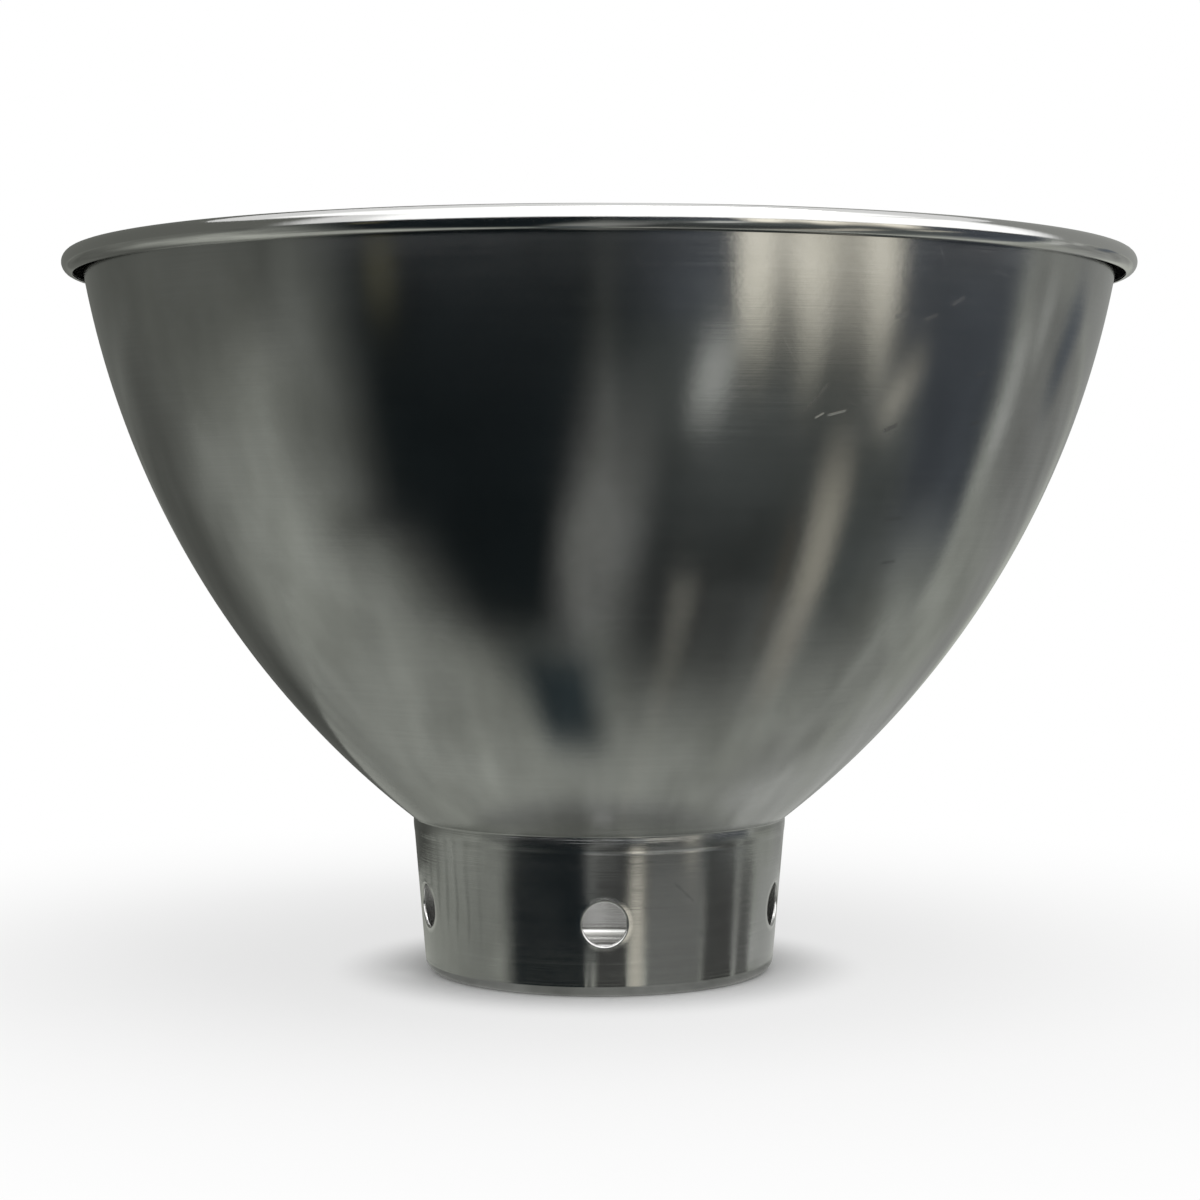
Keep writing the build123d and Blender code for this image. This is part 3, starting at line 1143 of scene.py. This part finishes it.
for place, (name, *look) in enumerate((
    ("ring", (-180, 180), (-180, 180), (0.05, 4.0), OLIVE, 0.46, (0.0001, 0.0001, 0.02, 0.05)),
    ("ring_right", (30, 140), (60, 160), (0.066, 0.145), NEUTRAL, 0.58, (0.4, 0.3, 0.1, 0.5)),
    ("ring_inner", (-180, 180), (-180, 180), (0.05, 0.068), NEUTRAL, 0.30, (0.0001, 0.0001, 0.02, 0.45)),
    ("left_mid", (-185, -50), (-185, -58), (0.20, 0.9), OLIVE, 0.38, (0.1, 0.08, 0.5, 0.001)),
    ("left_far", (-185, -60), (-185, -66), (0.45, 4.0), OLIVE, 0.19, (0.1, 0.08, 0.35, 0.05)),
    ("left_dark", (-185, -84), (-190, -106), (0.065, 3.0), OLIVE, 0.12, (0.1, 0.38, 0.15, 0.3)),
    ("left_light", (-98, -62), (-94, -60), (0.12, 0.8), OLIVE, 0.46, (0.45, 0.4, 0.4, 0.45)),
    ("right_mid", (0, 88), (0, 100), (0.125, 0.58), TEAL, 0.12, (0.05, 0.35, 0.4, 0.001)),
    ("right_far", (0, 102), (0, 112), (0.56, 4.0), BLUE, 0.11, (0.05, 0.12, 0.001, 0.05)),
    ("right_near", (-16, 66), (0, 58), (0.076, 0.42), TEAL, 0.045, (0.3, 0.45, 0.5, 0.42)),
    ("dark_near", (-30, 3), (-82, 10), (0.120, 0.28), BLUE_BLACK, 0.016, (0.50, 0.25, 0.5, 0.001)),
    ("dark_far", (-72, 16), (-96, 40), (0.26, 4.0), BLUE_BLACK, 0.016, (0.36, 0.28, 0.001, 0.02)),
    ("dark_tip", (-22, 9), (-34, 6), (0.078, 0.17), BLUE_BLACK, 0.06, (0.4, 0.4, 0.4, 0.3)),
    ("front_patch", (-20, 9), (-3, 21), (0.135, 0.54), NEUTRAL, 0.30, (0.45, 0.45, 0.3, 0.7)),
    ("olive_patch", (-48, -37), (-48, -39), (0.6, 1.2), (1.0, 0.95, 0.6), 0.10, (0.4, 0.4, 0.4, 0.2)),
    ("white_patch", (12, 25), (20, 33), (0.34, 0.60), NEUTRAL, 0.70, (0.45, 0.45, 0.45, 0.35)),
    ("beige_fill", (27, 66), (27, 68), (0.42, 4.0), BEIGE, 0.72, (0.18, 0.2, 0.35, 0.2)),
    ("beige_bright", (25, 34), (24, 41), (0.42, 4.0), BEIGE, 1.35, (0.4, 0.4, 0.24, 0.05)),
    ("beige_second", (38, 46), (32, 52), (0.36, 2.4), BEIGE, 1.2, (0.45, 0.45, 0.5, 0.2)),
    ("beige_third", (54, 61), (48, 68), (0.38, 4.0), BEIGE, 1.2, (0.45, 0.45, 0.5, 0.1)),
    ("beige_strip", (44, 58), (45, 59), (0.115, 0.44), BEIGE, 0.50, (0.45, 0.45, 0.3, 0.35)),
    ("beige_faint", (40, 46), (41, 47), (0.14, 0.30), BEIGE, 0.10, (0.45, 0.45, 0.3, 0.3)),
    ("beige_diagonal", (54, 62), (69, 80), (0.38, 0.70), BEIGE, 0.58, (0.45, 0.45, 0.3, 0.35)),
    ("beige_ray", (82, 87), (77, 82), (0.42, 0.62), BEIGE, 0.38, (0.4, 0.4, 0.4, 0.3)),
    ("blue_dark", (64, 100), (66, 98), (0.20, 4.0), BLUE, 0.10, (0.3, 0.2, 0.22, 0.1)),
    ("right_grey", (98, 150), (98, 165), (0.34, 3.2), NEUTRAL, 0.30, (0.15, 0.25, 0.25, 0.2)),
    ("right_light", (112, 160), (124, 175), (0.11, 0.7), NEUTRAL, 0.38, (0.3, 0.2, 0.3, 0.3)),
    ("streak_near", (96, 105), (100, 109), (0.42, 1.3), NEUTRAL, 0.55, (0.4, 0.4, 0.3, 0.25)),
    ("streak_far", (106, 112), (110, 119), (0.8, 2.8), NEUTRAL, 0.50, (0.35, 0.35, 0.3, 0.3)),
    ("blue_far", (116, 126), (126, 142), (0.8, 4.0), BLUE, 0.16, (0.4, 0.4, 0.3, 0.1)),
    ("rim_shade", (66, 96), (68, 96), (1.15, 2.6), BLUE, 0.03, (0.35, 0.35, 0.5, 0.1)),
)):
    sector(name, place + 1, *look)
print("floor cards laid")

# %% Upright cards
wall("wall_left", 3.4, (-185, -56), (-0.2, 3.4), OLIVE, 0.16, (0.1, 0.1, 0.02, 0.02))
wall("wall_right", 3.4, (100, 180), (-0.2, 3.4), NEUTRAL, 0.34, (0.1, 0.1, 0.02, 0.02))
wall("wall_dark", 3.3, (-60, 106), (-0.2, 0.10), BLUE_BLACK, 0.04, (0.1, 0.1, 0.02, 0.2))
wall("wall_white", 3.4, (-52, 104), (0.08, 3.4), WHITE[:3], 1.7, (0.08, 0.08, 0.01, 0.02))


def overhead(across, along):
    """A place on the level card over the bowl."""
    return Vector((between((-3.0, 3.0), across), between((-3.4, 0.5), along), 3.3))


card("overhead_white", [(overhead, 4, 4)], WHITE[:3], 1.7, (0.05, 0.05, 0.01, 0.15))

# a louvre is given by the two angles on the neck where its mirrored picture begins and ends
for place, look in enumerate((
    ("neck_left", (-88, -28.5), OLIVE, 0.46, (0.35, 0.45)),
    ("neck_left_dim", (-88, -26), OLIVE, 0.27, (0.02, 0.25)),
    ("neck_dark", (-33.5, -4.2), BLUE_BLACK, 0.020, (0.3, 0.02)),
    ("neck_line", (-4.2, -2.2), NEUTRAL, 0.18, (0.4, 0.4)),
    ("neck_middle", (-2.2, 8.4), NEUTRAL, 0.075, (0.2, 0.02)),
    ("neck_bright", (7.6, 15.2), BEIGE, 0.85, (0.45, 0.5)),
    ("neck_grey", (13.8, 33.4), NEUTRAL, 0.24, (0.1, 0.06)),
    ("neck_right", (32.0, 46.6), NEUTRAL, 0.085, (0.25, 0.06)),
    ("neck_edge", (46.4, 48.0), NEUTRAL, 0.40, (0.4, 0.4)),
    ("neck_shade", (48.0, 56), NEUTRAL, 0.16, (0.1, 0.3)),
    ("neck_light", (53.5, 88), NEUTRAL, 0.50, (0.3, 0.02)),
)):
    name, *rest = look
    louvre(name, place, *rest)

# %% [markdown]
# ## Close
# Colours go out plainly, without a film curve. The finished bowl has to stay inside the box of the
# imported model.

# %% View settings
bpy.context.scene.view_settings.view_transform = "Standard"
